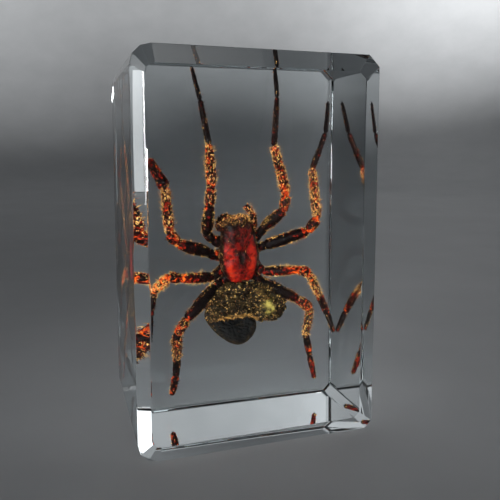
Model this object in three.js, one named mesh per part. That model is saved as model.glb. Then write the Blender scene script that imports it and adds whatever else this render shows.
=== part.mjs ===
// Clear resin display block that stands upright on its small end and holds a dried spider.
// The block is one cast solid, ground and polished by hand: six flat faces, a wide bevel around the
// front face that differs from side to side, a thin one around the back, and its four edges that
// run from front to back rounded on the left and cut off on the right.
// Millimetres, +Z up. The origin is the centre of the bottom face, the front face looks along -Y.

import * as THREE from "three";
import { ConvexGeometry } from "three/addons/geometries/ConvexGeometry.js";

// Outer size of the block.
const HEIGHT = 44;
const WIDTH = 28;
const DEPTH = 22;

// The bevels around the front and back faces: how deep they reach into the sides, and the strip
// that each one takes off the face.
const FRONT_BEVEL_DEPTH = 1.2;
const FRONT_BEVEL = { left: 1.4, right: 2.4, top: 2.1, bottom: 2.2 };
const BACK_BEVEL_DEPTH = 0.3;
const BACK_BEVEL = { left: 0.3, right: 0.3, top: 0.3, bottom: 0.3 };
const NO_BEVEL = { left: 0, right: 0, top: 0, bottom: 0 };

// The corners of the outline seen from the front, and of the flat faces inside the bevels: the left
// ones are rounded with this radius, the right ones are cut straight across by this much.
const SIDE_CORNER = { left: 2.2, topRight: 1.3, bottomRight: 0.9 };
const FRONT_CORNER = { left: 1.0, topRight: 0.8, bottomRight: 0.6 };
const BACK_CORNER = { left: 2.0, topRight: 1.2, bottomRight: 0.8 };
const ROUND_STEPS = 3;

// Points on a quarter circle, clockwise seen from the front, from the angle start (in quarter turns).
function roundCorner(x, z, radius, start) {
  const points = [];
  for (let step = 0; step <= ROUND_STEPS; step += 1) {
    const angle = (start - step / ROUND_STEPS) * Math.PI / 2;
    points.push([x + radius * Math.cos(angle), z + radius * Math.sin(angle)]);
  }
  return points;
}

// The outline seen from the front, at one depth.
function outline(y, strip, corner) {
  const left = strip.left - WIDTH / 2;
  const right = WIDTH / 2 - strip.right;
  const bottom = strip.bottom;
  const top = HEIGHT - strip.top;
  const corners = [
    ...roundCorner(left + corner.left, bottom + corner.left, corner.left, 3),
    ...roundCorner(left + corner.left, top - corner.left, corner.left, 2),
    [right - corner.topRight, top],
    [right, top - corner.topRight],
    [right, bottom + corner.bottomRight],
    [right - corner.bottomRight, bottom],
  ];
  return corners.map(([x, z]) => new THREE.Vector3(x, y, z));
}

function resinBlock() {
  const front = -DEPTH / 2;
  const back = DEPTH / 2;
  const geometry = new ConvexGeometry([
    ...outline(front, FRONT_BEVEL, FRONT_CORNER),
    ...outline(front + FRONT_BEVEL_DEPTH, NO_BEVEL, SIDE_CORNER),
    ...outline(back - BACK_BEVEL_DEPTH, NO_BEVEL, SIDE_CORNER),
    ...outline(back, BACK_BEVEL, BACK_CORNER),
  ]);
  const material = new THREE.MeshStandardMaterial({ color: 0xdfe6e4, roughness: 0.05, metalness: 0 });
  const block = new THREE.Mesh(geometry, material);
  block.name = "resin_block";
  return block;
}

const part = new THREE.Group();
part.add(resinBlock());

export default part;
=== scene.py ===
"""A dried spider sealed in a clear resin block that stands upright on its small end.

Shapes are worked out in millimetres in the row frame (+X right, +Y from front to back, +Z up) and
turned into metres when a mesh is made. The spider's joints are placed by the pixel at which they show
in the camera's 500 pixel wide view, and by how deep they lie behind the block's front face.
"""

import math

import bmesh
import bpy
import numpy as np
from mathutils import Matrix, Vector


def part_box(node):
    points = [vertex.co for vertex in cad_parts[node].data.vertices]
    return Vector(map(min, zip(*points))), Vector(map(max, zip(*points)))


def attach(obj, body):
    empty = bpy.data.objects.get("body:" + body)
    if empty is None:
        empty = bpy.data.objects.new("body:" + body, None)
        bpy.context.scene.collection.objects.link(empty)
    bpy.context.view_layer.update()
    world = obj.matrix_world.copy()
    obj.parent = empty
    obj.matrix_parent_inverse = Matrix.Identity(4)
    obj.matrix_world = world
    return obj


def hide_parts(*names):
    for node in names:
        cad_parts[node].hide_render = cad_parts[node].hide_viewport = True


MM = 0.001
RESIN_IOR = 1.5
TURN = 2 * math.pi

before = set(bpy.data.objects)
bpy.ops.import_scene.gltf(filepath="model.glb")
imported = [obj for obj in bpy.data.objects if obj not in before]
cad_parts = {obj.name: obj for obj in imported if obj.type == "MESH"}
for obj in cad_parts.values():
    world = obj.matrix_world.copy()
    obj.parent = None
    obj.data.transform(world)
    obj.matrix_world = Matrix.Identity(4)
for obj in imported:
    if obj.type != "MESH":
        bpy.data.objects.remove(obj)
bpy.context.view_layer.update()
BLOCK_LOW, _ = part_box("resin_block")
FRONT = BLOCK_LOW[1] / MM


def new_object(name, data):
    """An object that shows a mesh, a light or a camera, linked into the scene."""
    made = bpy.data.objects.new(name, data)
    bpy.context.scene.collection.objects.link(made)
    return made


# ---------------- camera

# The view is a square, the camera's axis goes through AXIS_PIXEL, and EYE is in millimetres.
VIEW_PIXELS = 500
FOCAL_PIXELS = 583
AXIS_PIXEL = np.array([250, 213])
EYE = np.array([-20.8, -69.3, 33.5])
YAW = math.radians(-18.0)
PITCH_DOWN = math.radians(6.3)
SENSOR_MM = 36
NEAREST_SEEN = 1 * MM


def camera_axes():
    """Right, up and forward of the camera."""
    right = np.array([math.cos(YAW), math.sin(YAW), 0])
    level = np.array([-math.sin(YAW), math.cos(YAW), 0])
    vertical = np.array([0, 0, 1])
    forward = math.cos(PITCH_DOWN) * level - math.sin(PITCH_DOWN) * vertical
    up = math.sin(PITCH_DOWN) * level + math.cos(PITCH_DOWN) * vertical
    return right, up, forward


RIGHT, UP, FORWARD = camera_axes()


def make_camera():
    data = bpy.data.cameras.new("camera")
    data.sensor_width = SENSOR_MM
    data.lens = FOCAL_PIXELS / VIEW_PIXELS * SENSOR_MM
    data.shift_x = -(AXIS_PIXEL[0] - VIEW_PIXELS / 2) / VIEW_PIXELS
    data.shift_y = (AXIS_PIXEL[1] - VIEW_PIXELS / 2) / VIEW_PIXELS
    data.clip_start = NEAREST_SEEN
    camera = new_object("camera", data)
    turn = Matrix([RIGHT, UP, -FORWARD]).transposed().to_4x4()
    camera.matrix_world = Matrix.Translation(Vector(EYE * MM)) @ turn
    bpy.context.scene.camera = camera


def seen_at(px, py, depth):
    """The point that shows at a pixel, through the resin, and lies that deep behind the front face."""
    ray = FORWARD + RIGHT * (px - AXIS_PIXEL[0]) / FOCAL_PIXELS
    ray = ray - UP * (py - AXIS_PIXEL[1]) / FOCAL_PIXELS
    ray = ray / np.linalg.norm(ray)
    entry = EYE + ray * (FRONT - EYE[1]) / ray[1]
    inside = ray / RESIN_IOR
    inside[1] = math.sqrt(1 - inside[0] ** 2 - inside[2] ** 2)
    return entry + inside * depth / inside[1]


# ---------------- mesh helpers

# Millimetres of resin left between the spider and each face of the block.
RESIN_SKIN = 0.06
# Places worked out between two points of a spline before it is spaced evenly.
SPLINE_STEPS = 24
# A direction that no path of the spider starts along.
SLANT = [0.31, 0.83, 0.46]


def sealed_in(points):
    """The points, with those that would come out of the block pushed back inside its faces."""
    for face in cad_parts["resin_block"].data.polygons:
        normal = np.array(face.normal)
        beyond = (points - np.array(face.center) / MM) @ normal + RESIN_SKIN
        points = points - np.clip(beyond, 0, None)[:, None] * normal
    return points


def make_object(name, vertices, faces, material, smooth, values):
    """A mesh object from millimetre vertices. values gives named attributes, a number per vertex."""
    mesh = bpy.data.meshes.new(name)
    sealed = sealed_in(np.asarray(vertices))
    mesh.from_pydata((sealed * MM).tolist(), [], faces)
    mesh.update()
    mesh.polygons.foreach_set("use_smooth", [smooth] * len(mesh.polygons))
    for key, numbers in values.items():
        layer = mesh.attributes.new(key, "FLOAT", "POINT")
        layer.data.foreach_set("value", np.asarray(numbers, dtype=np.float32))
    mesh.materials.append(material)
    made = new_object(name, mesh)
    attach(made, "root")
    return made


class Shells:
    """Closed shells collected into one mesh, with a tone and an along value for each vertex.

    tone drives the colour: low is dark, high is bright. along runs from 0 at a hair's root to 1 at its
    tip. On the abdomen and the spinnerets it says how yellow they are.
    """

    def __init__(self):
        self.vertices = []
        self.faces = []
        self.tone = []
        self.along = []
        self.count = 0

    def add(self, vertices, faces, tone, along=0.0):
        vertices = np.asarray(vertices, dtype=float)
        self.faces.extend([[i + self.count for i in face] for face in faces])
        self.vertices.append(vertices)
        self.tone.append(np.broadcast_to(tone, len(vertices)))
        self.along.append(np.broadcast_to(along, len(vertices)))
        self.count += len(vertices)

    def make(self, name, material, smooth=True):
        values = {"tone": np.concatenate(self.tone), "along": np.concatenate(self.along)}
        return make_object(name, np.concatenate(self.vertices), self.faces, material, smooth, values)


def ring_faces(rings, sides):
    """Quads between rings of the same number of points, and a cap on each end."""
    faces = []
    for ring in range(rings - 1):
        for side in range(sides):
            a = ring * sides + side
            b = ring * sides + (side + 1) % sides
            faces.append((a, b, b + sides, a + sides))
    faces.append(tuple(reversed(range(sides))))
    faces.append(tuple(range((rings - 1) * sides, rings * sides)))
    return faces


def unit(vectors):
    vectors = np.asarray(vectors, dtype=float)
    return vectors / np.linalg.norm(vectors, axis=-1, keepdims=True)


def spline(points, count):
    """A smooth curve through the points, at evenly spaced places along it."""
    points = np.asarray(points, dtype=float)
    padded = np.vstack([2 * points[0] - points[1], points, 2 * points[-1] - points[-2]])
    dense = []
    for i in range(1, len(padded) - 2):
        p0, p1, p2, p3 = padded[i - 1 : i + 3]
        t = np.linspace(0, 1, SPLINE_STEPS, endpoint=False)[:, None]
        cubic = 2 * p1 + (p2 - p0) * t + (2 * p0 - 5 * p1 + 4 * p2 - p3) * t**2
        dense.append(0.5 * (cubic + (3 * p1 - p0 - 3 * p2 + p3) * t**3))
    dense = np.vstack(dense + [points[-1:]])
    steps = np.concatenate([[0], np.cumsum(np.linalg.norm(np.diff(dense, axis=0), axis=1))])
    wanted = np.linspace(0, steps[-1], count)
    return np.stack([np.interp(wanted, steps, dense[:, k]) for k in range(3)], axis=1)


def frames_along(path):
    """Tangent and two side directions at each point of a path, turning as little as possible."""
    tangents = unit(np.gradient(path, axis=0))
    side = np.cross(tangents[0], SLANT)
    sides = []
    for tangent in tangents:
        side = side - tangent * np.dot(side, tangent)
        side = side / np.linalg.norm(side)
        sides.append(side)
    sides = np.array(sides)
    return tangents, sides, np.cross(tangents, sides)


def circle_of(side, other, count):
    """Directions spread evenly around each point of a path, from its two side directions."""
    angles = np.linspace(0, TURN, count, endpoint=False)
    return side[:, None] * np.cos(angles)[None, :, None] + other[:, None] * np.sin(angles)[None, :, None]


def thin_tube(path, radii, sides=8):
    """Vertices and faces of a closed round tube along a path."""
    _, side, other = frames_along(path)
    surface = path[:, None] + circle_of(side, other, sides) * radii[:, None, None]
    return surface.reshape(-1, 3), ring_faces(len(path), sides)


def wobble(points, scale, seed):
    """A smooth uneven value between about -1 and 1 at each point."""
    octaves = 4
    waves_each = 5
    finer = 1.9
    weaker = 1.6
    rng = np.random.default_rng(seed)
    total = 0
    for octave in range(octaves):
        waves = rng.normal(size=(3, waves_each)) * scale * finer**octave
        phases = rng.uniform(0, TURN, waves_each)
        total = total + np.sin(points @ waves + phases).mean(axis=1) / weaker**octave
    return total


# ---------------- hair


# A hair is a curved three-sided spike: three corners at its root, three at its bend, and its tip.
HAIR_VERTICES = 7
HAIR_QUADS = [(0, 1, 4, 3), (1, 2, 5, 4), (2, 0, 3, 5)]
HAIR_TIP = [(3, 4, 6), (4, 5, 6), (5, 3, 6)]
# Where along a hair its bend lies, how thick it still is there, and how far its tip leans over.
BEND_AT = 0.55
BEND_GIRTH = 0.65
DROOP = 0.25


def add_hairs(store, roots, directions, lengths, thickness, seed, shade=0.0):
    """Hairs from their roots. shade is added to their random tone, so below 0 they are darker."""
    rng = np.random.default_rng(seed)
    directions = unit(directions)
    across = unit(np.cross(directions, rng.normal(size=directions.shape)))
    other = np.cross(directions, across)
    bend = across * DROOP * rng.uniform(0.2, 1, (len(roots), 1))
    middle = roots + directions * lengths[:, None] * BEND_AT
    tips = roots + unit(directions + bend) * lengths[:, None]
    corners = [(math.cos(a), math.sin(a)) for a in (0, TURN / 3, 2 * TURN / 3)]
    base = [roots + thickness * (across * c + other * s) for c, s in corners]
    waist = [middle + BEND_GIRTH * thickness * (across * c + other * s) for c, s in corners]
    spikes = np.stack(base + waist + [tips], axis=1)
    first = HAIR_VERTICES * np.arange(len(roots))[:, None, None]
    faces = (first + HAIR_QUADS).reshape(-1, 4).tolist() + (first + HAIR_TIP).reshape(-1, 3).tolist()
    tone = np.repeat(rng.uniform(0, 1, len(roots)) + shade, HAIR_VERTICES)
    along = np.tile([0] * 3 + [BEND_AT] * 3 + [1], len(roots))
    store.add(spikes.reshape(-1, 3), faces, tone, along)


def hair_on_surface(store, made, count, length, thickness, lean, seed, keep=None):
    """Hairs rooted evenly over a mesh object's faces, or as thick as keep says, leaning one way."""
    root_depth = 0.02
    untidiness = 0.35
    mesh = made.data
    mesh.calc_loop_triangles()
    corners = np.array([v.co for v in mesh.vertices]) / MM
    triangles = np.array([t.vertices for t in mesh.loop_triangles])
    a, b, c = (corners[triangles[:, k]] for k in range(3))
    normals = np.cross(b - a, c - a)
    areas = np.linalg.norm(normals, axis=1)
    if keep is not None:
        areas = areas * keep((a + b + c) / 3)
    rng = np.random.default_rng(seed)
    chosen = rng.choice(len(triangles), count, p=areas / areas.sum())
    u, v = rng.uniform(0, 1, (2, count, 1))
    flip = u + v > 1
    u, v = np.where(flip, 1 - u, u), np.where(flip, 1 - v, v)
    roots = a[chosen] + u * (b[chosen] - a[chosen]) + v * (c[chosen] - a[chosen])
    out = unit(normals[chosen])
    directions = out + lean + rng.normal(size=out.shape) * untidiness
    lengths = rng.uniform(*length, count)
    add_hairs(store, roots - out * root_depth, directions, lengths, thickness, seed + 1)


# ---------------- materials


BLACK = (0, 0, 0)
WHITE = (1, 1, 1)
# Which sockets of Blender's Mix node hold its factor, its two colours and the mixed colour.
MIX_FACTOR = 0
MIX_FIRST = 6
MIX_SECOND = 7
MIX_RESULT = 2


class Nodes:
    """A material whose surface is one Principled shader, and short calls to wire its nodes."""

    def __init__(self, name):
        self.material = bpy.data.materials.new(name)
        self.material.use_nodes = True
        self.tree = self.material.node_tree
        self.shader = self.tree.nodes["Principled BSDF"]

    def node(self, kind, **settings):
        made = self.tree.nodes.new(kind)
        for key, value in settings.items():
            setattr(made, key, value)
        return made

    def feed(self, socket, value):
        """Sets a socket to a number or a colour, or links another node's output to it."""
        if isinstance(value, (int, float)):
            socket.default_value = value
        elif isinstance(value, tuple):
            socket.default_value = (*value, 1)
        else:
            self.tree.links.new(value, socket)

    def fill(self, node, **values):
        """Feeds a node's inputs, whose names have _ in place of a space."""
        for key, value in values.items():
            self.feed(node.inputs[key.replace("_", " ")], value)

    def surface(self, **values):
        self.fill(self.shader, **values)

    def attribute(self, name):
        return self.node("ShaderNodeAttribute", attribute_name=name).outputs["Fac"]

    def place(self):
        return self.node("ShaderNodeTexCoord").outputs["Object"]

    def noise(self, scale, detail=4, roughness=0.6, distortion=0):
        made = self.node("ShaderNodeTexNoise")
        self.fill(made, Vector=self.place(), Scale=scale, Detail=detail)
        self.fill(made, Roughness=roughness, Distortion=distortion)
        return made.outputs["Fac"]

    def ramp(self, source, stops):
        made = self.node("ShaderNodeValToRGB")
        band = made.color_ramp
        while len(band.elements) < len(stops):
            band.elements.new(0.5)
        for element, (position, colour) in zip(band.elements, stops):
            element.position = position
            element.color = (*colour, 1)
        self.fill(made, Fac=source)
        return made.outputs["Color"]

    def mix(self, factor, first, second, blend="MIX"):
        made = self.node("ShaderNodeMix", data_type="RGBA", blend_type=blend)
        self.feed(made.inputs[MIX_FACTOR], factor)
        self.feed(made.inputs[MIX_FIRST], first)
        self.feed(made.inputs[MIX_SECOND], second)
        return made.outputs[MIX_RESULT]

    def maths(self, operation, first, second):
        made = self.node("ShaderNodeMath", operation=operation)
        self.feed(made.inputs[0], first)
        self.feed(made.inputs[1], second)
        return made.outputs[0]

    def bump(self, height, strength, distance):
        made = self.node("ShaderNodeBump")
        self.fill(made, Strength=strength, Distance=distance, Height=height)
        self.surface(Normal=made.outputs["Normal"])

    def roughness(self, source, low, high):
        made = self.node("ShaderNodeMapRange")
        self.fill(made, To_Min=low, To_Max=high, Value=source)
        self.surface(Roughness=made.outputs["Result"])


def resin_material():
    """Clear resin, see-through by plain transmission, with a weak tint from absorption."""
    let_through = (0.72, 0.86, 0.90)
    density = 16.0
    nodes = Nodes("clear_resin")
    nodes.surface(Base_Color=WHITE, Roughness=0.0, IOR=RESIN_IOR, Transmission_Weight=1.0)
    tint = nodes.node("ShaderNodeVolumeAbsorption")
    nodes.fill(tint, Color=let_through, Density=density)
    nodes.fill(nodes.tree.nodes["Material Output"], Volume=tint.outputs["Volume"])
    return nodes.material


def leg_material():
    """Dark red-brown chitin, orange where the tone is high, with darker blotches."""
    nodes = Nodes("leg_chitin")
    blotch = nodes.noise(1700, detail=3, distortion=0.7)
    tone = nodes.maths("ADD", nodes.attribute("tone"), nodes.maths("MULTIPLY", blotch, 2.2))
    stops = [
        (0.46, (0.003, 0.0012, 0.001)),
        (0.62, (0.030, 0.003, 0.002)),
        (0.76, (0.30, 0.010, 0.003)),
        (0.98, (0.90, 0.15, 0.012)),
    ]
    colour = nodes.ramp(nodes.maths("SUBTRACT", tone, 0.76), stops)
    nodes.surface(Base_Color=colour, Specular_IOR_Level=0.05)
    nodes.roughness(nodes.noise(2500), low=0.35, high=0.65)
    nodes.bump(nodes.noise(3200, detail=6), strength=0.6, distance=0.08 * MM)
    return nodes.material


def carapace_material():
    """Dark red chitin, bright red where the tone is high, with uneven streaks."""
    nodes = Nodes("carapace_chitin")
    streak = nodes.noise(1300, detail=6, roughness=0.72, distortion=1.4)
    tone = nodes.maths("ADD", nodes.attribute("tone"), nodes.maths("MULTIPLY", streak, 2.4))
    stops = [
        (0.20, (0.004, 0.0015, 0.001)),
        (0.40, (0.045, 0.003, 0.002)),
        (0.60, (0.12, 0.004, 0.002)),
        (0.84, (0.23, 0.006, 0.003)),
        (1.00, (0.36, 0.020, 0.004)),
    ]
    colour = nodes.ramp(nodes.maths("SUBTRACT", tone, 1.20), stops)
    nodes.surface(Base_Color=colour, Specular_IOR_Level=0.07)
    nodes.roughness(nodes.noise(2200), low=0.28, high=0.6)
    nodes.bump(nodes.noise(2600, detail=7), strength=0.5, distance=0.08 * MM)
    return nodes.material


def abdomen_material():
    """Near black skin with golden specks that are partly painted glints, a yellow patch, a tan rim and black
    folds.
    """
    nodes = Nodes("abdomen_skin")
    tone = nodes.attribute("tone")
    patches = nodes.noise(650, detail=5, roughness=0.7, distortion=0.9)
    skin_stops = [
        (0.38, (0.004, 0.003, 0.002)),
        (0.50, (0.016, 0.009, 0.003)),
        (0.62, (0.050, 0.030, 0.008)),
        (0.74, (0.16, 0.09, 0.020)),
    ]
    # The golden specks are partly real golden scales and partly painted glints on hair and scales.
    speckled = nodes.mix(specks_and_glints(nodes), nodes.ramp(patches, skin_stops), (0.66, 0.42, 0.14))
    yellow_stops = [(0.40, (0.05, 0.04, 0.008)), (0.62, (0.42, 0.34, 0.08))]
    yellow = nodes.ramp(nodes.noise(1500), yellow_stops)
    patched = nodes.mix(nodes.attribute("along"), speckled, yellow)
    tan_stops = [(0.40, (0.06, 0.025, 0.006)), (0.62, (0.50, 0.27, 0.07))]
    tan = nodes.ramp(nodes.noise(1800), tan_stops)
    rimmed = nodes.mix(nodes.ramp(tone, [(0.60, BLACK), (0.95, WHITE)]), patched, tan)
    unfolded = nodes.ramp(tone, [(0.08, BLACK), (0.46, WHITE)])
    colour = nodes.mix(unfolded, (0.004, 0.004, 0.004), rimmed)
    nodes.surface(Base_Color=colour, Specular_IOR_Level=0.08)
    nodes.roughness(patches, low=0.35, high=0.75)
    nodes.bump(nodes.noise(1700, detail=8, roughness=0.72), strength=0.9, distance=0.18 * MM)
    return nodes.material


def specks_and_glints(nodes):
    """White where the skin has a speck, partly a golden scale and partly a painted glint: small dots, shown
    in some places only.
    """
    cells = nodes.node("ShaderNodeTexVoronoi")
    nodes.fill(cells, Vector=nodes.place(), Scale=2300, Randomness=1.0)
    dots = nodes.ramp(cells.outputs["Distance"], [(0.20, WHITE), (0.34, BLACK)])
    shown = nodes.ramp(nodes.noise(1500, detail=2), [(0.47, BLACK), (0.59, WHITE)])
    return nodes.mix(1.0, dots, shown, "MULTIPLY")


def hair_material():
    """Bristles from near black to gold in small clumps, and darker at the root."""
    dark = (0.005, 0.002, 0.0015)
    brown = (0.55, 0.06, 0.008)
    gold = (1.0, 0.58, 0.16)
    nodes = Nodes("golden_bristle")
    clump = nodes.maths("MULTIPLY", nodes.noise(2500, detail=2), 2.6)
    single = nodes.maths("MULTIPLY", nodes.attribute("tone"), 0.35)
    mixed = nodes.maths("SUBTRACT", nodes.maths("ADD", clump, single), 0.97)
    shade = nodes.ramp(mixed, [(0.38, dark), (0.47, brown), (0.60, gold), (0.95, gold)])
    fade = nodes.ramp(nodes.attribute("along"), [(0.0, (0.25, 0.25, 0.25)), (0.5, WHITE)])
    colour = nodes.mix(fade, dark, shade)
    nodes.surface(Base_Color=colour, Roughness=0.35, Specular_IOR_Level=0.3)
    return nodes.material


def eye_material():
    nodes = Nodes("eye")
    stops = [(0.3, (0.004, 0.003, 0.003)), (0.8, (0.03, 0.012, 0.006))]
    colour = nodes.ramp(nodes.noise(4000), stops)
    nodes.surface(Base_Color=colour, Roughness=0.08, Coat_Weight=1.0, Coat_Roughness=0.03)
    return nodes.material


# ---------------- block


def make_block():
    """The CAD block with its polished edges slightly rounded, apart from those of its round corners."""
    edge_radius = 0.12 * MM
    same_place = 0.001 * MM
    flat = math.radians(1)
    sharp = math.radians(32)
    shape = bmesh.new()
    shape.from_mesh(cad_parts["resin_block"].data)
    bmesh.ops.remove_doubles(shape, verts=shape.verts, dist=same_place)
    bmesh.ops.dissolve_limit(shape, angle_limit=flat, verts=shape.verts, edges=shape.edges)
    bmesh.ops.bevel(
        shape,
        geom=[edge for edge in shape.edges if edge.calc_face_angle() > sharp],
        offset=edge_radius,
        segments=3,
        profile=0.5,
        affect="EDGES",
        clamp_overlap=True,
    )
    bmesh.ops.recalc_face_normals(shape, faces=shape.faces)
    mesh = bpy.data.meshes.new("clear_block")
    shape.to_mesh(mesh)
    shape.free()
    mesh.materials.append(resin_material())
    block = new_object("clear_block", mesh)
    # If it cast a shadow, no light that the renderer samples would reach the spider.
    block.visible_shadow = False
    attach(block, "root")
    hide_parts("resin_block")


# ---------------- legs

# Each leg from the body outwards: where its segments start, and its tip, as (pixel x, pixel y, depth).
LEG_POINTS = {
    "leg_1_left": {
        "coxa": (227, 243, 16.2), "trochanter": (213, 240, 15.7), "femur": (206.5, 233, 15.4),
        "patella": (209.5, 206, 13.4), "tibia": (211.5, 188, 13.3), "metatarsus": (209, 145, 16.6),
        "tarsus": (200, 100, 18.5), "tip": (191.3, 66.8, 19.6),
    },
    "leg_1_right": {
        "coxa": (250, 240, 16.2), "trochanter": (259, 234, 15.7), "femur": (264, 227, 15.4),
        "patella": (283, 211, 13.4), "tibia": (286.5, 196, 13.3), "metatarsus": (274, 146, 16.6),
        "tarsus": (277, 97, 18.5), "tip": (274.7, 67.8, 19.6),
    },
    "leg_2_left": {
        "coxa": (227, 253, 16.3), "trochanter": (215, 256, 16.0), "femur": (208, 252, 15.6),
        "patella": (179, 244, 13.7), "tibia": (169.5, 234, 13.5), "metatarsus": (165, 187, 16.6),
        "tarsus": (155, 170, 18.0), "tip": (150, 160, 18.9),
    },
    "leg_2_right": {
        "coxa": (251, 250, 16.3), "trochanter": (259, 247, 16.0), "femur": (265, 245, 15.6),
        "patella": (308, 231, 13.7), "tibia": (317, 219, 13.5), "metatarsus": (312, 169, 18.2),
        "tarsus": (325.5, 133, 18.8), "tip": (328, 102, 20.0),
    },
    "leg_3_left": {
        "coxa": (228, 264, 16.3), "trochanter": (219, 272, 16.0), "femur": (213, 277, 15.7),
        "patella": (180, 278.5, 14.1), "tibia": (169, 277, 14.0), "metatarsus": (154, 291, 16.9),
        "tarsus": (151, 316, 18.3), "tip": (150, 343, 19.4),
    },
    "leg_3_right": {
        "coxa": (251, 261, 16.3), "trochanter": (258, 267, 16.0), "femur": (263, 271.5, 15.7),
        "patella": (298, 269.5, 14.1), "tibia": (309, 273, 14.0), "metatarsus": (319, 295, 17.6),
        "tarsus": (327, 313, 18.2), "tip": (333.6, 331.2, 18.7),
    },
    "leg_4_left": {
        "coxa": (231, 272, 16.3), "trochanter": (222, 281, 16.2), "femur": (215, 286, 16.0),
        "patella": (187, 319, 14.6), "tibia": (177, 334, 14.6), "metatarsus": (177, 358, 17.6),
        "tarsus": (176, 376, 18.5), "tip": (172, 394.5, 19.6),
    },
    "leg_4_right": {
        "coxa": (248, 270, 16.3), "trochanter": (255, 277, 16.2), "femur": (261, 281, 16.0),
        "patella": (297, 298.5, 14.6), "tibia": (310, 308, 14.6), "metatarsus": (305.5, 334, 17.6),
        "tarsus": (309.5, 356, 18.5), "tip": (314.2, 377.8, 19.4),
    },
}

# Each segment: its thickest radius in millimetres, its tone, where along it it is thickest, how slim
# its ends are as a share of that radius, and how thick and long its hair is.
LEG_SEGMENTS = {
    "coxa": {"radius": 0.78, "tone": 0.0, "thickest": 0.45, "slim": 0.7, "hair": 0.35},
    "trochanter": {"radius": 0.62, "tone": 0.0, "thickest": 0.5, "slim": 0.8, "hair": 0.4},
    "femur": {"radius": 0.76, "tone": -0.11, "thickest": 0.35, "slim": 0.72, "hair": 0.7},
    "patella": {"radius": 0.66, "tone": 0.24, "thickest": 0.6, "slim": 0.75, "hair": 0.7},
    "tibia": {"radius": 0.60, "tone": 0.22, "thickest": 0.25, "slim": 0.72, "hair": 1.0},
    "metatarsus": {"radius": 0.40, "tone": -0.06, "thickest": 0.12, "slim": 0.76, "hair": 0.30},
    "tarsus": {"radius": 0.30, "tone": -0.12, "thickest": 0.15, "slim": 0.72, "hair": 0.22},
}
LEG_SIDES = 16
# How much redder these segments of each pair of legs are. The third pair is the reddest.
LEG_WARMTH = {"leg_1": 0.0, "leg_2": 0.0, "leg_3": 0.20, "leg_4": -0.12}
WARM_SEGMENTS = ("femur", "tibia", "metatarsus")
# Segments that differ from that: how many times as stout, and how much redder.
UNUSUAL = {
    ("leg_2_left", "metatarsus"): (1.9, 0.27),
    ("leg_2_left", "tarsus"): (2.0, 0.30),
    ("leg_3_left", "femur"): (0.9, 0.20),
    ("leg_3_right", "femur"): (0.85, 0.18),
    ("leg_3_right", "tibia"): (0.85, 0.0),
    ("leg_3_right", "metatarsus"): (1.35, 0.20),
    ("leg_3_right", "tarsus"): (1.35, 0.10),
    ("leg_4_left", "metatarsus"): (1.25, 0.02),
    ("leg_4_left", "tarsus"): (1.6, 0.34),
    ("leg_4_right", "tibia"): (0.85, -0.10),
    ("leg_4_right", "metatarsus"): (1.2, 0.10),
    ("leg_4_right", "tarsus"): (1.35, 0.22),
}

# Two coats of hair: short flat scales, and longer bristles that stand out. Sizes in millimetres.
BRISTLES = {
    "scales": {"per_mm": 60, "length": (0.14, 0.28), "radius": 0.070, "lean": (0.8, 2.0)},
    "bristles": {"per_mm": 34, "length": (0.30, 0.75), "radius": 0.026, "lean": (0.4, 1.3)},
}
# The segments with hair along their two sides only, and how far up or down it may point. That real hair is
# kept to the outline so that it shows pale there: a painted rim highlight.
PAINTED_RIM_SEGMENTS = ("coxa", "trochanter", "femur")
PAINTED_RIM_LIMIT = 0.72
# The last two segments have dark hair, the others golden, and hair on redder segments is paler.
HAIR_SHADE = {"metatarsus": -1.0, "tarsus": -1.0}
WARM_HAIR_SHADE = 2


def segment_radius(t, thickest, slim):
    """Radius along a segment as a share of its thickest: rounded ends, and a swelling between."""
    rounded_end = 0.07
    roundness = 0.97
    rise = np.where(t < thickest, t / thickest, (1 - t) / (1 - thickest))
    body = slim + (1 - slim) * np.sin(rise * math.pi / 2)
    ends = np.clip(np.minimum(t, 1 - t) / rounded_end, 0, 1)
    return body * np.sqrt(1 - (1 - ends) ** 2 * roundness)


def segment_tone(name, t):
    """Tone along a segment: paler rings near both ends, and the far half of a femur paler."""
    far_ring = 0.14 * np.exp(-(((t - 0.9) / 0.07) ** 2))
    near_ring = 0.08 * np.exp(-(((t - 0.1) / 0.07) ** 2))
    ringed = far_ring + near_ring
    if name == "femur":
        ringed = ringed + 0.22 * np.clip((t - 0.5) / 0.4, 0, 1)
    return ringed


def segment_path(start, end, bow, radius, rings):
    """The bowed centre line of a segment, which reaches a little into its neighbours."""
    length = np.linalg.norm(end - start)
    direction = (end - start) / length
    reach = min(0.18 * radius / length, 0.1)
    first = start - direction * length * reach
    last = end + direction * length * reach
    middle = (start + end) / 2 + bow
    return spline([first, middle, last], rings)


def add_segment(shells, hair, start, end, bow, name, seed, girth, warmth):
    """One leg segment from start to end, bowed a little, and the hair on it."""
    rings_per_mm = 7
    fewest_rings = 14
    unevenness = 0.13
    facts = LEG_SEGMENTS[name]
    length = np.linalg.norm(end - start)
    rings = max(fewest_rings, int(length * rings_per_mm))
    path = segment_path(start, end, bow, facts["radius"], rings)
    tangents, sides, others = frames_along(path)
    t = np.linspace(0, 1, rings)
    radii = girth * facts["radius"] * segment_radius(t, facts["thickest"], facts["slim"])
    around = circle_of(sides, others, LEG_SIDES)
    surface = path[:, None] + around * radii[:, None, None]
    uneven = wobble(surface.reshape(-1, 3), scale=1.6, seed=seed).reshape(rings, LEG_SIDES, 1)
    surface = surface + around * uneven * radii[:, None, None] * unevenness
    tone = np.repeat(facts["tone"] + warmth + segment_tone(name, t), LEG_SIDES)
    shells.add(surface.reshape(-1, 3), ring_faces(rings, LEG_SIDES), tone)
    line = {"path": path, "radii": radii, "tangents": tangents, "sides": sides, "others": others}
    shade = HAIR_SHADE.get(name, 0.0) + WARM_HAIR_SHADE * warmth
    add_coats(hair, name, line, length, seed, shade)


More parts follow.
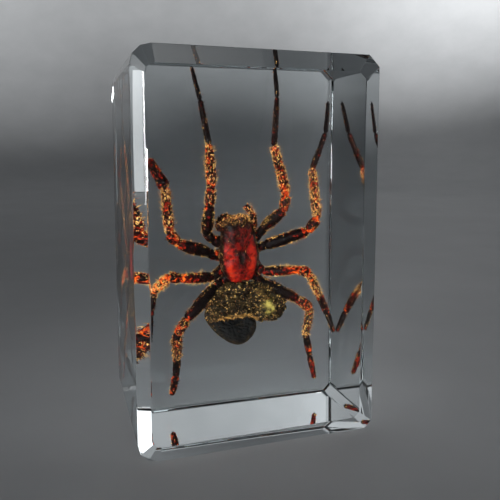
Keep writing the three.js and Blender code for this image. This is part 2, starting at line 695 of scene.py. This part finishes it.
def add_coats(hair, name, line, length, seed, shade):
    """Both coats of hair on a segment, whose line holds its path, radii and directions."""
    hairiness = LEG_SEGMENTS[name]["hair"]
    bare_end = 0.03
    root_depth = 0.96
    untidiness = 0.25
    for number, coat in enumerate(BRISTLES.values()):
        rng = np.random.default_rng(seed + 50 + 7 * number)
        count = int(length * coat["per_mm"] * hairiness)
        place = rng.uniform(bare_end, 1 - bare_end, count)
        angle = rng.uniform(0, TURN, count)
        last = len(line["path"]) - 1
        index = np.clip((place * last).astype(int), 0, last)
        out = line["sides"][index] * np.cos(angle)[:, None] + line["others"][index] * np.sin(angle)[:, None]
        # Painted rim highlight: on these segments the hair stays on the sides, where it makes the outline
        # pale.
        if name in PAINTED_RIM_SEGMENTS:
            beside = np.abs(out[:, 1]) < PAINTED_RIM_LIMIT
            index = index[beside]
            out = out[beside]
        roots = line["path"][index] + out * line["radii"][index][:, None] * root_depth
        lean = line["tangents"][index] * rng.uniform(*coat["lean"], (len(index), 1))
        lengths = rng.uniform(*coat["length"], len(index)) * (0.5 + 0.5 * hairiness)
        spread = rng.normal(size=out.shape) * untidiness
        add_hairs(hair, roots, out + lean + spread, lengths, coat["radius"], seed + 90 + number, shade)


def make_leg(name, points, chitin, bristle, seed):
    """All seven segments of one leg as a mesh, its two claws, and its bristles as another mesh."""
    bow_up = np.array([0, -0.12, 0])
    pair = name.rsplit("_", 1)[0]
    shells = Shells()
    hair = Shells()
    joints = {key: seen_at(*place) for key, place in points.items()}
    order = list(joints)
    for number, key in enumerate(order[:-1]):
        start = joints[key]
        end = joints[order[number + 1]]
        bow = bow_up * np.linalg.norm(end - start) * (0.4 if key == "femur" else 0.15)
        usual = LEG_WARMTH[pair] if key in WARM_SEGMENTS else 0
        girth, warmth = UNUSUAL.get((name, key), (1.0, usual))
        add_segment(shells, hair, start, end, bow, key, seed * 17 + number, girth, warmth)
    add_claws(shells, joints["tarsus"], joints["tip"])
    shells.make(name, chitin)
    hair.make(name + "_bristles", bristle, smooth=False)


def add_claws(shells, tarsus, tip):
    """The two curved claws at the end of a leg."""
    rings = 6
    radii = np.linspace(0.05, 0.012, rings)
    ahead = unit(tip - tarsus)
    for hook in (-1, 1):
        side = unit(np.cross(ahead, [0, 1, 0])) * hook
        root = tip - ahead * 0.1
        bend = tip + ahead * 0.12 + side * 0.07
        point = tip + ahead * 0.2 + side * 0.16
        shells.add(*thin_tube(spline([root, bend, point], rings), radii), 0.0)


# ---------------- body

BODY_DEPTH = 15.5
HEAD_END = seen_at(236, 216, BODY_DEPTH)
WAIST_END = seen_at(241, 283, BODY_DEPTH)
BODY_LONG = unit(HEAD_END - WAIST_END)
BODY_UP = np.array([0, -1, 0])
BODY_SIDE = unit(np.cross(BODY_LONG, BODY_UP))
CARAPACE_LENGTH = np.linalg.norm(HEAD_END - WAIST_END)


def to_world(points):
    """Points given in millimetres to the spider's own side, towards its back and towards its head."""
    points = np.asarray(points)
    return WAIST_END + points[..., :1] * BODY_SIDE + points[..., 1:2] * BODY_UP + points[..., 2:] * BODY_LONG


def grid_shell(shape, rings, sides):
    """A closed shell: shape(t, angle) gives side, up and along for every ring and side."""
    t = np.linspace(0, 1, rings)[:, None]
    angle = np.linspace(0, TURN, sides, endpoint=False)[None]
    side, up, along = np.broadcast_arrays(*shape(t, angle))
    points = np.stack([side, up, along], axis=-1).reshape(-1, 3)
    return points, ring_faces(rings, sides)


# The carapace from its rear end (0) to its front end (1): half its width and its height there.
CARAPACE_AT = [0, 0.04, 0.12, 0.25, 0.42, 0.6, 0.75, 0.88, 0.95, 0.985, 1.0]
CARAPACE_HALF_WIDTH = [0.7, 1.35, 1.9, 2.4, 2.62, 2.4, 2.15, 2.05, 1.85, 1.5, 0.9]
CARAPACE_HEIGHT = [0.3, 0.75, 1.1, 1.35, 1.55, 1.7, 1.8, 1.75, 1.5, 1.1, 0.4]


def carapace_shape(t, angle):
    """The plain shield, before its grooves are cut: domed above, nearly flat below."""
    half = np.interp(t, CARAPACE_AT, CARAPACE_HALF_WIDTH)
    tall = np.interp(t, CARAPACE_AT, CARAPACE_HEIGHT)
    across = np.cos(angle)
    lift = np.sin(angle)
    side = half * np.sign(across) * np.abs(across) ** 0.85
    up = np.where(lift > 0, tall * np.abs(lift) ** 0.8, -0.45 * np.abs(lift) ** 0.7)
    return side, up, t * CARAPACE_LENGTH + 0 * angle


def carapace_grooves(side, share):
    """The pit in the middle of the carapace, and the two grooves that run from it round the head."""
    pit = np.exp(-((side / 0.16) ** 2) - ((share - 0.40) / 0.09) ** 2)
    groove = np.exp(-(((np.abs(side) - 0.35 - (share - 0.45) * 4.2) / 0.22) ** 2))
    groove = groove * np.clip((share - 0.44) / 0.05, 0, 1) * np.clip((0.80 - share) / 0.08, 0, 1)
    return pit, groove


def carapace_spokes(side, share):
    """Shallow folds that spread from the middle of the carapace, behind the head."""
    ahead = (share - 0.42) * CARAPACE_LENGTH
    folds = np.cos(7 * np.arctan2(side, ahead)) * np.clip(np.hypot(side, ahead) / 2, 0, 1)
    return folds * (share < 0.72)


def carapace_tone(side, up, share, pit, groove):
    """High, so red, on the flanks and the rear, and low on the head, edges, grooves and underside."""
    half = np.interp(share, CARAPACE_AT, CARAPACE_HALF_WIDTH)
    edge = np.clip((np.abs(side) / half - 0.78) / 0.12, 0, 1)
    vee = np.clip((share - 0.30 + 0.30 * (1.1 - np.abs(side))) / 0.3, 0, 1) * (np.abs(side) < 1.8)
    flank = np.exp(-(((np.abs(side) - 1.45) / 0.62) ** 2)) * np.clip((0.66 - share) / 0.12, 0, 1)
    rear = np.exp(-(((share - 0.08) / 0.1) ** 2))
    front = np.clip((share - 0.80) / 0.08, 0, 1)
    tone = 0.50 + 0.34 * flank - 0.10 * vee + 0.14 * rear - 0.35 * front - 0.6 * edge
    tone = tone - 0.15 * groove - 0.4 * pit
    return np.clip(np.where(up < 0, 0.15, tone), 0, 1)


def make_carapace(material):
    """The shield over the front body: a narrower head part, and grooves that meet in the middle."""
    points, faces = grid_shell(carapace_shape, rings=72, sides=64)
    side, up, along = points.T
    share = along / CARAPACE_LENGTH
    pit, groove = carapace_grooves(side, share)
    top = np.clip(up / 0.5, 0, 1)
    up = up - top * (0.42 * pit + 0.22 * groove + 0.07 * carapace_spokes(side, share))
    up = up + top * 0.07 * wobble(points, scale=2.4, seed=5)
    tone = carapace_tone(side, up, share, pit, groove)
    shells = Shells()
    shells.add(to_world(np.stack([side, up, along], axis=1)), faces, tone)
    return shells.make("carapace", material)


def sternum_plate(t, angle):
    """The heart-shaped plate under the front body."""
    half = 1.25 * np.sin(np.clip(t * 1.15, 0, 1) * math.pi) ** 0.6 * (0.55 + 0.45 * t) + 0.03
    along = (0.2 + 0.42 * t) * CARAPACE_LENGTH + 0 * angle
    return half * np.cos(angle), -0.75 + 0.35 * np.sin(angle), along


def lip_plate(t, angle):
    """The small plate ahead of the sternum."""
    half = 0.42 * np.sin(t * math.pi) ** 0.5 + 0.02
    along = (0.63 + 0.09 * t) * CARAPACE_LENGTH + 0 * angle
    return half * np.cos(angle), -0.8 + 0.25 * np.sin(angle), along


def make_sternum(material):
    """Both plates as one mesh, slightly uneven."""
    shells = Shells()
    for shape, tone in ((sternum_plate, 0.35), (lip_plate, 0.2)):
        points, faces = grid_shell(shape, rings=30, sides=28)
        points[:, 1] += 0.05 * wobble(points, scale=3.0, seed=8)
        shells.add(to_world(points), faces, tone)
    shells.make("sternum", material)


# A jaw and its fang, from root to tip: millimetres to the side, up, and ahead of the head's end.
JAW = [(0.55, 0.45, -1.1), (0.62, -0.2, -0.45), (0.5, -1.15, -0.25)]
FANG = [(0.55, -1.1, 0.05), (0.3, -1.5, -0.2), (0.12, -1.35, -0.55)]


def jaw_path(places, hand, rings):
    """A smooth path through places beside the head, on the side that hand says."""
    turned = [(hand * side, up, CARAPACE_LENGTH + ahead) for side, up, ahead in places]
    return spline(to_world(turned), rings)


def make_chelicerae(material):
    """Two stout jaws under the front of the head, each with a folded fang."""
    jaw_rings = 20
    jaw_sides = 18
    fang_rings = 14
    fang_sides = 10
    t = np.linspace(0, 1, jaw_rings)
    jaw_radii = 0.56 * segment_radius(t, thickest=0.4, slim=0.6)
    fang_radii = np.linspace(0.16, 0.02, fang_rings)
    for name, hand in (("chelicera_left", -1), ("chelicera_right", 1)):
        shells = Shells()
        shells.add(*thin_tube(jaw_path(JAW, hand, jaw_rings), jaw_radii, jaw_sides), 0.0)
        shells.add(*thin_tube(jaw_path(FANG, hand, fang_rings), fang_radii, fang_sides), 0.0)
        shells.make(name, material)


# Each palp from the body outwards, like the legs.
PALP_POINTS = {
    "pedipalp_left": [
        (228, 233, 16.1), (220, 230, 15.5), (218, 224, 15.3), (221, 218, 15.3), (228, 216, 15.5),
    ],
    "pedipalp_right": [
        (248, 232, 16.1), (253.5, 228, 15.3), (254, 220, 14.6), (251, 212, 14.4), (246, 206, 14.8),
    ],
}
# The segments of a leg that those of a palp are like, and how stout and how red they are beside them.
PALP_SEGMENTS = ("metatarsus", "tibia", "tibia", "tibia")
PALP_GIRTH = 0.66
PALP_WARMTH = -0.15


def make_pedipalps(chitin, bristle):
    """The two short feelers beside the head, each with its hair."""
    bow = np.array([0, -0.05, 0])
    for number, (name, places) in enumerate(PALP_POINTS.items()):
        shells = Shells()
        hair = Shells()
        joints = [seen_at(*place) for place in places]
        for part, key in enumerate(PALP_SEGMENTS):
            seed = 400 + 10 * number + part
            start, end = joints[part : part + 2]
            add_segment(shells, hair, start, end, bow, key, seed, PALP_GIRTH, PALP_WARMTH)
        shells.make(name, chitin)
        hair.make(name + "_bristles", bristle, smooth=False)


# The two rows of eyes: how far along the carapace, how high, how far to each side, and their radius.
EYE_ROWS = {
    "front": {"along": 0.955, "up": 1.42, "sides": (0.24, 0.95), "radius": 0.16},
    "back": {"along": 0.88, "up": 1.78, "sides": (0.30, 1.05), "radius": 0.14},
}


def eye_shape(row, offset):
    """One slightly flattened ball, lower the further it lies to the side."""

    def shape(t, angle):
        around = row["radius"] * np.sin(t * math.pi) + 0.004
        lift = row["up"] - 0.30 * offset**2 - row["radius"] * np.cos(t * math.pi) * 0.8
        along = row["along"] * CARAPACE_LENGTH + around * np.sin(angle)
        return offset + around * np.cos(angle), lift, along

    return shape


def make_eyes(material):
    """Eight small eyes in two rows on the front of the head."""
    shells = Shells()
    for row in EYE_ROWS.values():
        for offset in row["sides"]:
            for hand in (-1, 1):
                points, faces = grid_shell(eye_shape(row, hand * offset), rings=14, sides=18)
                shells.add(to_world(points), faces, 0.0)
    shells.make("eyes", material)


ABDOMEN_DEPTH = 15.3
ABDOMEN_CENTRE = seen_at(245, 301, ABDOMEN_DEPTH)

# The outlines and middles of the two lobes of the abdomen, as pixels, clockwise from the left tip.
SHIELD_OUTLINE = [
    (203, 317), (207, 303), (215, 291), (227, 282), (243, 279), (259, 281), (273, 286), (283, 294),
    (287, 304), (283, 314), (271, 321), (259, 321), (250, 317), (238, 316), (224, 318), (211, 321),
]
BULGE_OUTLINE = [
    (206, 319), (211, 328), (219, 336), (228, 342), (238, 345), (247, 342), (254, 335), (257, 326),
    (254, 316), (244, 310), (228, 309), (213, 312),
]
SHIELD_MIDDLE = (245, 300)
BULGE_MIDDLE = (233, 326)


def lobe(outline, middle, rings, sides, top, edge, belly):
    """A closed lobe inside an outline, how far out its points lie, and which are on its upper side.

    It rises to top towards the spider's back and sinks to belly. edge gives the height of its rim.
    """
    pole = 0.004
    outline_points = [seen_at(x, y, ABDOMEN_DEPTH) for x, y in outline]
    centre = seen_at(*middle, ABDOMEN_DEPTH)
    loop = spline(outline_points[-2:] + outline_points + outline_points[:3], 4 * sides)
    start = np.argmin(np.linalg.norm(loop[: 2 * sides] - outline_points[0], axis=1))
    stop = start + sides + np.argmin(np.linalg.norm(loop[start + sides :] - outline_points[0], axis=1))
    rim = loop[np.linspace(start, stop, sides, endpoint=False).astype(int)]
    t = np.linspace(pole, 1 - pole, rings)[:, None]
    reach = np.sin(t * math.pi)
    edge_heights = edge(rim)[None]
    above = edge_heights + (top - edge_heights) * np.sqrt(1 - reach**2)
    below = edge_heights - (belly + edge_heights) * np.sqrt(1 - reach**2)
    height = np.where(t < 0.5, above, below)
    flat = centre + reach[..., None] * (rim[None] - centre)
    points = flat + height[..., None] * BODY_UP
    reach = np.broadcast_to(reach, height.shape).ravel()
    upper = (t < 0.5).repeat(sides, axis=1).ravel()
    return points.reshape(-1, 3), ring_faces(rings, sides), reach, upper


def near(points, place, radius):
    """1 at the place of the abdomen that shows at a pixel, falling to 0 around it."""
    away = (points - seen_at(*place, ABDOMEN_DEPTH)) * [1, 0, 1]
    return np.exp(-((np.linalg.norm(away, axis=1) / radius) ** 2))


LIP_FROM = seen_at(211, 317, ABDOMEN_DEPTH)
LIP_TO = seen_at(262, 320, ABDOMEN_DEPTH)


def lip(points):
    """How much a point belongs to the raised lower edge of the shield."""
    level = (points[:, 2] - LIP_FROM[2]) / 1.3
    inside = np.clip((points[:, 0] - LIP_FROM[0]) / 1.2, 0, 1)
    inside = inside * np.clip((LIP_TO[0] - points[:, 0]) / 1.0, 0, 1)
    return np.exp(-np.clip(level, -1, 3) ** 2) * inside


def shield_edge(rim):
    return 0.05 + 1.05 * lip(rim)


def bulge_edge(rim):
    return np.full(len(rim), -0.35)


def add_shield(shells):
    """The broad wrinkled upper lobe, with a yellow patch, a tan lip and a smooth dark middle."""
    points, faces, reach, upper = lobe(
        SHIELD_OUTLINE, SHIELD_MIDDLE, rings=76, sides=150, top=1.75, edge=shield_edge, belly=1.5
    )
    out = unit(points - ABDOMEN_CENTRE)
    dents = wobble(points, scale=1.1, seed=21)
    wrinkle = np.abs(wobble(points * [1.0, 1.0, 1.7], scale=2.4, seed=22))
    patch = 1.8 * near(points, (267, 302), 0.62) + 1.4 * near(points, (266, 308), 0.5)
    patch = np.clip(patch, 0, 1) * upper
    wrinkle = wrinkle * (1 - 0.8 * patch)
    moved = points + out * (0.22 * dents - 0.30 * wrinkle)[:, None]
    lift = upper * (0.55 * dents - 0.75 * wrinkle + 0.25) * np.clip(reach * 2, 0, 1)
    moved = moved + BODY_UP * lift[:, None]
    rim = lip(points) * np.exp(-(((reach - 0.93) / 0.22) ** 2)) * upper
    spot = near(points, (262.5, 309), 0.26) * upper
    smooth = near(points, (243, 303), 1.3) * upper
    tone = 0.52 + 0.5 * rim - 0.5 * spot - 0.24 * smooth - 0.9 * np.clip(0.10 - wrinkle, 0, 1)
    tone = np.where(upper, tone, 0.40)
    shells.add(moved, faces, np.clip(tone, 0, 1), patch * (1 - spot))


def add_bulge(shells):
    """The smaller lower lobe, with a hollow where the shield folds over it, darkened as painted shade."""
    points, faces, reach, upper = lobe(
        BULGE_OUTLINE, BULGE_MIDDLE, rings=56, sides=100, top=0.35, edge=bulge_edge, belly=1.4
    )
    shaded_hollow = near(points, (238, 318), 1.5)
    swell = near(points, (236, 337), 1.5)
    dents = wobble(points, scale=1.6, seed=31)
    wrinkle = np.abs(wobble(points, scale=2.6, seed=32))
    lift = 0.5 * swell - 0.9 * shaded_hollow + 0.3 * dents - 0.35 * wrinkle
    moved = points + BODY_UP * (upper * lift)[:, None]
    border = np.clip((reach - 0.75) / 0.25, 0, 1)
    # Painted shade: the hollow under the shield's fold is made darker.
    tone = np.where(upper, 0.13 + 0.25 * border - 0.45 * shaded_hollow - 0.1 * wrinkle, 0.30)
    shells.add(moved, faces, np.clip(tone, 0, 1))


def make_abdomen(material):
    """The dried, shrunken abdomen."""
    shells = Shells()
    add_shield(shells)
    add_bulge(shells)
    return shells.make("abdomen", material)


# The spinnerets in pairs from the rear: how far apart they are rooted, and their length.
SPINNERET_PAIRS = [(0.22, 0.7), (0.34, 0.55), (0.16, 0.45)]


def make_spinnerets(material):
    """Three pairs of short spinnerets under the end of the abdomen."""
    rings = 12
    sides = 12
    t = np.linspace(0, 1, rings)
    radii = 0.19 * segment_radius(t, thickest=0.3, slim=0.55)
    shells = Shells()
    for pair, (offset, length) in enumerate(SPINNERET_PAIRS):
        for hand in (-1, 1):
            root = seen_at(237, 335, ABDOMEN_DEPTH) - BODY_UP * (0.9 + 0.28 * pair)
            root = root + BODY_SIDE * hand * offset + BODY_LONG * 0.35 * pair
            end = root - BODY_LONG * length - BODY_UP * 0.25 + BODY_SIDE * hand * 0.08
            path = spline([root, (root + end) / 2 + BODY_SIDE * hand * 0.05, end], rings)
            shells.add(*thin_tube(path, radii, sides), 0.3, np.repeat(t, sides))
    shells.make("spinnerets", material)


def make_pedicel(material):
    """The thin waist between the front body and the abdomen."""
    rings = 16
    sides = 16
    t = np.linspace(0, 1, rings)
    ahead = WAIST_END + BODY_LONG * 0.5
    behind = WAIST_END - BODY_LONG * 0.2
    path = spline([ahead, behind, ABDOMEN_CENTRE + BODY_LONG * 1.8], rings)
    radii = 0.42 - 0.12 * np.sin(t * math.pi)
    shells = Shells()
    shells.add(*thin_tube(path, radii, sides), 0.2)
    shells.make("pedicel", material)


def on_edges(centres):
    """Where hair grows on the carapace: thick on the head, thinner on the edges, almost none between."""
    local = (centres - WAIST_END) @ np.stack([BODY_SIDE, BODY_UP, BODY_LONG]).T
    share = local[:, 2] / CARAPACE_LENGTH
    head = np.clip((share - 0.86) / 0.08, 0, 1)
    rim = np.clip((np.abs(local[:, 0]) - 2.0) / 0.4, 0, 1)
    return (0.05 + 2.2 * head + 0.5 * rim) * (local[:, 1] > -0.2)


def make_body_hair(carapace, abdomen, bristle):
    """The hair of the carapace, which leans ahead, and of the abdomen, which leans back."""
    ahead = BODY_LONG * 0.6
    back = -BODY_LONG * 0.8
    longer = {"count": 2600, "length": (0.25, 0.65), "thickness": 0.042}
    shorter = {"count": 1400, "length": (0.10, 0.30), "thickness": 0.026}
    shield_hair = Shells()
    hair_on_surface(shield_hair, carapace, **longer, lean=ahead, seed=71, keep=on_edges)
    shield_hair.make("carapace_hair", bristle, smooth=False)
    skin_hair = Shells()
    hair_on_surface(skin_hair, abdomen, **shorter, lean=back, seed=81)
    skin_hair.make("abdomen_hair", bristle, smooth=False)


def make_spider():
    chitin = leg_material()
    shield = carapace_material()
    skin = abdomen_material()
    gold = hair_material()
    for number, (name, points) in enumerate(LEG_POINTS.items()):
        make_leg(name, points, chitin, gold, number + 1)
    carapace = make_carapace(shield)
    make_sternum(chitin)
    make_chelicerae(chitin)
    make_pedipalps(chitin, gold)
    make_eyes(eye_material())
    make_pedicel(chitin)
    abdomen = make_abdomen(skin)
    make_spinnerets(skin)
    make_body_hair(carapace, abdomen, gold)


# ---------------- studio


def floor_material():
    nodes = Nodes("pale_floor")
    stops = [(0.3, (0.37, 0.38, 0.39)), (0.7, (0.41, 0.42, 0.43))]
    nodes.surface(Base_Color=nodes.ramp(nodes.noise(30), stops), Roughness=0.55)
    return nodes.material


def make_stage():
    """A round pale floor that curves up into a wall all round.

    The thin gap of air between it and the block makes the block's underside a mirror from inside.
    """
    air_gap = 0.05 * MM
    floor_radius = 0.40
    corner = 0.40
    corner_steps = 16
    wall = 0.20
    sides = 96
    profile = [(0.002, 0), (0.1, 0), (floor_radius, 0)]
    for step in range(1, corner_steps + 1):
        angle = step / corner_steps * math.pi / 2
        profile.append((floor_radius + corner * math.sin(angle), corner * (1 - math.cos(angle))))
    profile.append((floor_radius + corner, corner + wall))
    angles = np.linspace(0, TURN, sides, endpoint=False)
    vertices = [(r * math.cos(a), r * math.sin(a), z - air_gap) for r, z in profile for a in angles]
    mesh = bpy.data.meshes.new("floor")
    faces = ring_faces(len(profile), sides)[:-1]
    mesh.from_pydata(vertices, [], faces)
    mesh.polygons.foreach_set("use_smooth", [True] * len(mesh.polygons))
    mesh.materials.append(floor_material())
    floor = new_object("floor", mesh)


def add_light(name, place, target, size, watts, spread=180, seen_through_resin=True):
    """A soft rectangular light, in metres and watts. Its light stays within spread, in degrees.

    One that isn't seen through the resin leaves no bright spot of itself in the block.
    """
    data = bpy.data.lights.new(name, "AREA")
    data.shape = "RECTANGLE"
    data.size, data.size_y = size
    data.energy = watts
    data.spread = math.radians(spread)
    light = new_object(name, data)
    light.location = place
    aim = Vector(target) - Vector(place)
    light.rotation_euler = aim.to_track_quat("-Z", "Y").to_euler()
    light.visible_transmission = seen_through_resin


def make_lights():
    """The key light, low panels that the block's faces and edges mirror, and two lights on the wall."""
    middle = (0, 0, 0.024)
    square = (0.10, 0.10)
    strip = (0.01, 0.25)
    wall_right = (0.48, 0.62, 0.35)
    wall_left = (-0.12, 0.75, 0.35)
    add_light("key", (-0.22, -0.32, 0.018), middle, (0.10, 0.03), 0.031, 20, False)
    add_light("fill", (0.02, -0.06, 0.17), middle, (0.05, 0.05), 0.0003, 30)
    add_light("top_panel", (0.01, 0.05, 0.15), middle, (0.06, 0.05), 0.0006, 50)
    add_light("left_panel", (-0.22, 0.06, 0.06), middle, (0.06, 0.12), 0.003, 60)
    add_light("edge_panel", (0.1817, 0.3335, 0.046), (0, 0, 0.03), (0.020, 0.09), 0.0027)
    add_light("bevel_panel", (0.22, 0.34, 0.19), (0, 0, 0.01), (0.08, 0.08), 0.022)
    add_light("rim_right_front", (0.30, -0.12, 0.05), middle, strip, 0.009, 40)
    add_light("rim_right_back", (0.30, 0.14, 0.05), middle, strip, 0.014, 40)
    add_light("rim_left_front", (-0.28, -0.12, 0.05), middle, strip, 0.008, 40)
    add_light("wall_right", (0.45, 0.15, 0.45), wall_right, square, 1.5, 80, False)
    add_light("wall_left", (-0.12, 0.20, 0.50), wall_left, square, 0.85, 80, False)


def make_world():
    """A weak bluish light from all round, and colours shown as they are."""
    world = bpy.data.worlds.new("studio")
    world.use_nodes = True
    background = world.node_tree.nodes["Background"]
    background.inputs["Color"].default_value = (0.80, 0.86, 0.92, 1)
    background.inputs["Strength"].default_value = 0.06
    bpy.context.scene.world = world
    bpy.context.scene.view_settings.view_transform = "Standard"


make_camera()
make_block()
make_spider()
make_stage()
make_lights()
make_world()

bpy.context.view_layer.update()
